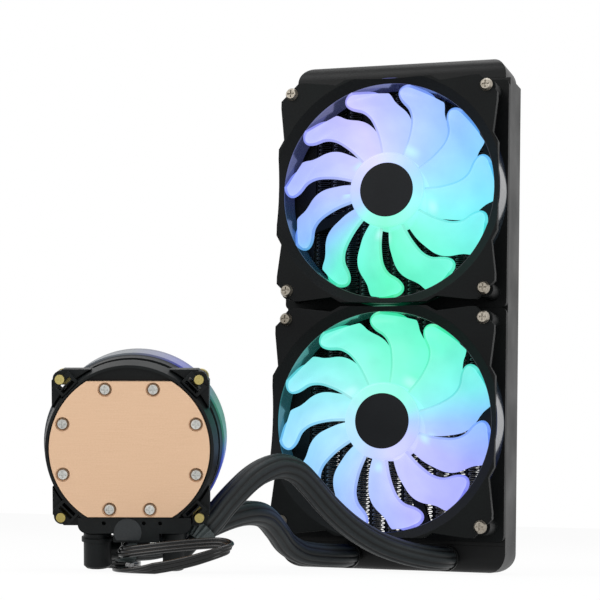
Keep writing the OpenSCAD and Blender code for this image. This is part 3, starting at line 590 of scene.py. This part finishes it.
# The flat cable, in mm: three wires side by side, then a hank of upright turns behind the pump
cable = {"wire": 0.9, "pitch": 1.75, "width": 5.4, "step": 1.6, "hankAt": (-106, -115), "hankTurn": 113,
         "hankHeight": 2.9, "run": 60, "outer": 7.4, "turnGap": 1.96, "laps": 3, "lean": 62, "upright": 90,
         "arc": (155, 25), "arcSteps": 6, "rest": 1.0, "halfWidth": 1.85}
cableRoute = [
    (-81, -167, 16), (-80, -173, 12), (-79, -180, 9.5), (-74, -186, 9), (-66, -187, 10), (-57, -186.5, 11.3),
    (-48, -185, 12.5), (-40, -183.5, 13.4), (-32, -182.5, 14), (-27, -184, 13.4), (-24, -188.5, 12),
    (-26, -194, 10.5), (-31, -197.5, 8.5), (-38, -199, 6.2), (-47, -200, 4), (-57, -200.5, 2.2),
    (-67, -199, 1.2), (-74, -193, 1.2), (-77, -183, 1.2), (-79, -172, 1.2), (-83, -160, 1.2),
    (-86.5, -150, 2.3)]
cableSection = []
for wire in (-1, 0, 1):      # upper sides from left to right, lower sides back
    for k in range(cable["arcSteps"] + 1):
        start, end = cable["arc"]
        angle = math.radians(start + (end - start) * k / cable["arcSteps"])
        cableSection.append((wire * cable["pitch"] * mm + cable["wire"] * mm * math.cos(angle),
                             cable["wire"] * mm * math.sin(angle)))
cableSection += [(x, -y) for x, y in reversed(cableSection)]


def hankPoint(along, across):
    angle = math.radians(cable["hankTurn"])
    return (cable["hankAt"][0] + along * math.cos(angle) - across * math.sin(angle),
            cable["hankAt"][1] + along * math.sin(angle) + across * math.cos(angle), cable["hankHeight"])


# Racetrack laps from the outside inwards: out along one side, back along the other
def hankLaps():
    laps = []
    half = cable["run"] / 2
    for lap in range(cable["laps"]):
        radius = cable["outer"] - lap * cable["turnGap"]
        inner = cable["outer"] - (lap + 1) * cable["turnGap"]
        laps += [hankPoint(-half, -radius), hankPoint(-half / 3, -radius), hankPoint(half / 3, -radius)]
        for k in range(9):
            turnAngle = math.radians(-90 + 180 * k / 8)
            laps.append(hankPoint(half + radius * math.cos(turnAngle), radius * math.sin(turnAngle)))
        laps += [hankPoint(half / 3, radius), hankPoint(-half / 3, radius)]
        if lap == cable["laps"] - 1:
            laps.append(hankPoint(-half, radius))
            break
        for k in range(8):
            turnAngle = math.radians(90 + 180 * k / 8)
            shrink = radius + (inner - radius) * k / 8
            laps.append(hankPoint(-half + shrink * math.cos(turnAngle), shrink * math.sin(turnAngle)))
    return laps


hankLine = hankLaps()
cableLine = smoothLine([Vector(p) * mm for p in cableRoute + hankLine], cable["step"] * mm)
inHank = min(range(len(cableLine)), key=lambda i: (cableLine[i] - Vector(hankLine[0]) * mm).length)
leans = [cable["upright"] if i > inHank else cable["lean"] * min(1, i / 8) for i in range(len(cableLine))]
tilt = []
for i, point in enumerate(cableLine):      # eased along the wire, and never into the floor
    window = leans[max(0, i - 6):i + 7]
    rise = max(0.0, min(1.0, (point.z / mm - cable["rest"]) / cable["halfWidth"]))
    room = math.degrees(math.asin(rise))
    tilt.append(math.radians(min(sum(window) / len(window), room)))
cablePiece = tubeAlong("pumpCable", cableLine, cableSection, tilt=tilt)
cablePiece.data.materials.append(materials["glossyPvc"])
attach(cablePiece, "cooler")
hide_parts("pump_cable", "cable_hank")
print("pumpCable length", round(lineLength(cableLine), 4))


# Fan wheels, in mm: heights and fronts are measured from the fans' front face
wheel = {
    "hub": 20.0, "tip": 55.0, "front": -3.4, "depth": 14.2, "bow": 0.35, "blade": 1.6, "count": 11,
    "hubFront": -2.2, "hubBack": -19.6, "wall": 1.6,
    "stations": [(-0.03, 0, -31), (0.2, 1.6, -27.5), (0.37, 3.6, -23.8), (0.53, 6, -20.5), (0.64, 8.8, -17),
                 (0.72, 12, -13.2), (0.79, 16.4, -9), (0.86, 18.9, -6), (0.94, 19.9, -4.2), (1, 19.9, -3.2)],
    "tipRound": 0.11, "leadRound": 5.5, "trailRound": 1.2, "sunk": 0.02, "crowding": 1.6, "grid": (14, 30),
    "bladeSoft": 0.35, "hubSoft": 1.3, "hubSides": 96,
}
fans = {"upper": {"centre": 196, "phase": -1.6, "body": "upper_fan_wheel"},
        "lower": {"centre": 76, "phase": 12.8, "body": "lower_fan_wheel"}}
fanFace = -38.5


# Smooth curve through the stations (share of the radius, leading angle, trailing angle)
def bladeEdge(share, column):
    stations = wheel["stations"]
    k = max(i for i in range(len(stations) - 1) if stations[i][0] <= share or i == 0)
    pts = [stations[min(max(j, 0), len(stations) - 1)] for j in (k - 1, k, k + 1, k + 2)]
    t = (share - pts[1][0]) / (pts[2][0] - pts[1][0])
    slopes = []
    for a, b in ((0, 2), (1, 3)):
        width = pts[b][0] - pts[a][0]
        slopes.append((pts[b][column] - pts[a][column]) / width * (pts[2][0] - pts[1][0]))
    a, b = pts[1][column], pts[2][column]
    return ((2 * t ** 3 - 3 * t * t + 1) * a + (t ** 3 - 2 * t * t + t) * slopes[0]
            + (-2 * t ** 3 + 3 * t * t) * b + (t ** 3 - t * t) * slopes[1])


def makeBlade(fan, turnDegrees):
    centre = fans[fan]["centre"]
    deselectAll()
    bpy.ops.mesh.primitive_grid_add(x_subdivisions=wheel["grid"][0], y_subdivisions=wheel["grid"][1], size=2)
    blade = newest(fan + "Blade")
    for vertex in blade.data.vertices:
        s = (vertex.co.x + 1) / 2
        v = (vertex.co.y + 1) / 2
        share = -wheel["sunk"] + (1 + wheel["sunk"]) * (1 - (1 - v) ** wheel["crowding"])
        leadAngle, trailAngle = bladeEdge(share, 1), bladeEdge(share, 2)
        over = max(0.0, (share - (1 - wheel["tipRound"])) / wheel["tipRound"])
        rounding = 1 - math.sqrt(max(0.0, 1 - min(over, 1) ** 2))
        leadAngle -= wheel["leadRound"] * rounding
        trailAngle += wheel["trailRound"] * rounding
        angle = math.radians(leadAngle + (trailAngle - leadAngle) * s + turnDegrees)
        radius = (wheel["hub"] + share * (wheel["tip"] - wheel["hub"])) * mm
        height = (wheel["front"] - wheel["depth"] * (s + wheel["bow"] * s * (1 - s))) * mm
        vertex.co = (radius * math.cos(angle), fanFace * mm - height, centre * mm + radius * math.sin(angle))
    blade.data.materials.append(materials[fan + "Blades"])
    blade.data.materials.append(materials[fan + "Edges"])
    faceFront(blade)
    # the sheet's rims take the second material, the painted shade along the blade edges
    useModifier(blade, "SOLIDIFY", thickness=wheel["blade"] * mm, offset=-1, material_offset_rim=1)
    useModifier(blade, "BEVEL", width=wheel["bladeSoft"] * mm, segments=2, limit_method="ANGLE",
                angle_limit=math.radians(50))
    return blade


# The sheet's faces look to the front before it gets its thickness
def faceFront(piece):
    piece.data.update()
    if sum(face.normal.y * face.area for face in piece.data.polygons) > 0:
        piece.data.flip_normals()


def makeHub(fan):
    centre = fans[fan]["centre"]
    depth = (wheel["hubFront"] - wheel["hubBack"]) * mm
    deselectAll()
    bpy.ops.mesh.primitive_cylinder_add(
        vertices=wheel["hubSides"], radius=wheel["hub"] * mm, depth=depth, end_fill_type="NGON",
        rotation=(math.pi / 2, 0, 0),
        location=(0, fanFace * mm - (wheel["hubFront"] + wheel["hubBack"]) / 2 * mm, centre * mm))
    hub = newest(fan + "Hub")
    bpy.ops.object.transform_apply(location=True, rotation=True, scale=True)
    rear = [f.index for f in hub.data.polygons if f.normal.y > 0.9]      # the hub is open behind
    bpy.ops.object.mode_set(mode="EDIT")
    bpy.ops.mesh.select_mode(type="FACE")
    bpy.ops.mesh.select_all(action="DESELECT")
    bpy.ops.object.mode_set(mode="OBJECT")
    for index in rear:
        hub.data.polygons[index].select = True
    bpy.ops.object.mode_set(mode="EDIT")
    bpy.ops.mesh.delete(type="FACE")
    bpy.ops.object.mode_set(mode="OBJECT")
    hub.data.materials.append(materials[fan + "Blades"])
    hub.data.materials.append(materials[fan + "Edges"])
    useModifier(hub, "BEVEL", width=wheel["hubSoft"] * mm, segments=4, limit_method="ANGLE",
                angle_limit=math.radians(50))
    useModifier(hub, "SOLIDIFY", thickness=wheel["wall"] * mm, offset=-1)
    return hub


for fan, setup in fans.items():
    parts = [makeHub(fan)]
    for k in range(wheel["count"]):
        parts.append(makeBlade(fan, setup["phase"] + 360 / wheel["count"] * k))
    rotor = join(parts, fan + "FanWheel")
    settle(rotor, 40)
    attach(rotor, setup["body"])
    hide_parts(fan + "_fan_rotor")
    print(fan, "wheel done")


# Fins, in mm: one folded strip between each pair of tubes
fins = {"left": -55.4, "margin": 0.1, "right": 55.3, "tubes": 12, "pitch": 8.523, "tube": 2.0,
        "low": 17.0, "high": 255.0, "fold": 2.2, "filled": 0.98, "sheet": 0.35, "inset": 0.06,
        "front": -9.0, "back": 9.0}


def foldedColumns():
    shell = bmesh.new()
    uvLayer = shell.loops.layers.uv.new("acrossColumn")
    half = fins["tube"] / 2
    edges = [fins["left"] + fins["margin"]]
    for i in range(1, fins["tubes"] + 1):
        tube = fins["left"] + fins["pitch"] * i
        edges += [tube - half, tube + half]
    edges.append(fins["right"])
    # across, up: one fold's rounded profile, as shares
    profile = [(0.0, 0.0), (0.0, 0.28), (0.1, 0.44), (0.3, 0.5), (0.7, 0.5), (0.9, 0.56), (1.0, 0.72),
               (1.0, 0.84), (0.9, 0.94), (0.7, 1.0), (0.3, 1.0), (0.1, 1.0)]
    for left, right in zip(edges[::2], edges[1::2]):
        x0, x1 = left + fins["inset"], right - fins["inset"]
        count = int((fins["high"] - fins["low"]) / fins["fold"])
        line = []
        for k in range(count):
            base = fins["low"] + k * fins["fold"]
            for across, up in profile[:-1]:
                line.append((x0 + (x1 - x0) * across, base + fins["fold"] * up * fins["filled"], across))
        previous = None
        for x, z, across in line:
            pair = (shell.verts.new((x * mm, fins["front"] * mm, z * mm)),
                    shell.verts.new((x * mm, fins["back"] * mm, z * mm)), across)
            if previous:
                face = shell.faces.new((previous[0], previous[1], pair[1], pair[0]))
                for loop, value in zip(face.loops, (previous[2], previous[2], pair[2], pair[2])):
                    loop[uvLayer].uv = (value, 0.5)
            previous = pair
    mesh = bpy.data.meshes.new("foldedFins")
    shell.to_mesh(mesh)
    shell.free()
    piece = bpy.data.objects.new("foldedFins", mesh)
    bpy.context.scene.collection.objects.link(piece)
    piece.data.materials.append(materials["foldedAluminium"])
    useModifier(piece, "SOLIDIFY", thickness=fins["sheet"] * mm, offset=0)
    return piece


finPiece = foldedColumns()
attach(finPiece, "cooler")
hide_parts("cooling_fins")
print("fins done:", len(finPiece.data.polygons), "faces")


# Floor and sky are white to the camera, and light the object only softly
def whiteToCamera(tree):
    rays = addNode(tree, "LightPath")
    first = addNode(tree, "Math", {0: rays.outputs["Is Camera Ray"], 1: rays.outputs["Is Glossy Ray"]},
                    operation="MAXIMUM")
    return addNode(tree, "Math", {0: first.outputs["Value"], 1: rays.outputs["Is Transmission Ray"]},
                   operation="MAXIMUM")


studio = {"floorSize": 14, "floorAt": (0, 2, -0.0004), "floorWhite": 0.94, "skyLight": 0.42}
deselectAll()
bpy.ops.mesh.primitive_plane_add(size=studio["floorSize"], location=studio["floorAt"])
floor = newest("floor")
bpy.ops.object.transform_apply(location=True)
floorMaterial, tree = newMaterial("matPaper")      # matt paper sweep: pale, with only the soft shadow on it
seen = whiteToCamera(tree)
paper = addNode(tree, "BsdfDiffuse", {"Color": hexColour("#fbfbfb")})
white = addNode(tree, "Emission", {"Color": (1, 1, 1, 1), "Strength": 1})
share = addNode(tree, "Math", {0: seen.outputs["Value"], 1: studio["floorWhite"]}, operation="MULTIPLY")
mixed = addNode(tree, "MixShader", {0: share.outputs["Value"], 1: paper.outputs["BSDF"],
                                    2: white.outputs["Emission"]})
addNode(tree, "OutputMaterial", {"Surface": mixed.outputs["Shader"]})
floor.data.materials.append(floorMaterial)

world = bpy.data.worlds.new("studio")
bpy.context.scene.world = world
world.use_nodes = True
tree = world.node_tree
tree.nodes.clear()
seen = whiteToCamera(tree)
level = addNode(tree, "MapRange", {"Value": seen.outputs["Value"], "To Min": studio["skyLight"], "To Max": 1.0})
sky = addNode(tree, "Background", {"Color": (1, 1, 1, 1), "Strength": level.outputs["Result"]})
addNode(tree, "OutputWorld", {"Surface": sky.outputs["Background"]})

lamps = {
    "keyLamp": dict(place=(-0.7, -1.0, 1.1), aim=(0, -0.1, 0.12), size=0.9, power=11),
    "fillLamp": dict(place=(1.1, -0.9, 0.5), aim=(0, -0.1, 0.12), size=0.8, power=5),
    "topLamp": dict(place=(0.1, 0.2, 1.3), aim=(0, -0.05, 0.1), size=0.8, power=6),
}
for name, lamp in lamps.items():
    deselectAll()
    bpy.ops.object.light_add(type="AREA", location=lamp["place"])
    light = newest(name)
    light.data.size = lamp["size"]
    light.data.energy = lamp["power"]
    light.rotation_euler = (Vector(lamp["aim"]) - Vector(lamp["place"])).to_track_quat("-Z", "Y").to_euler()
bpy.context.scene.view_settings.view_transform = "Standard"
print("studio ready")
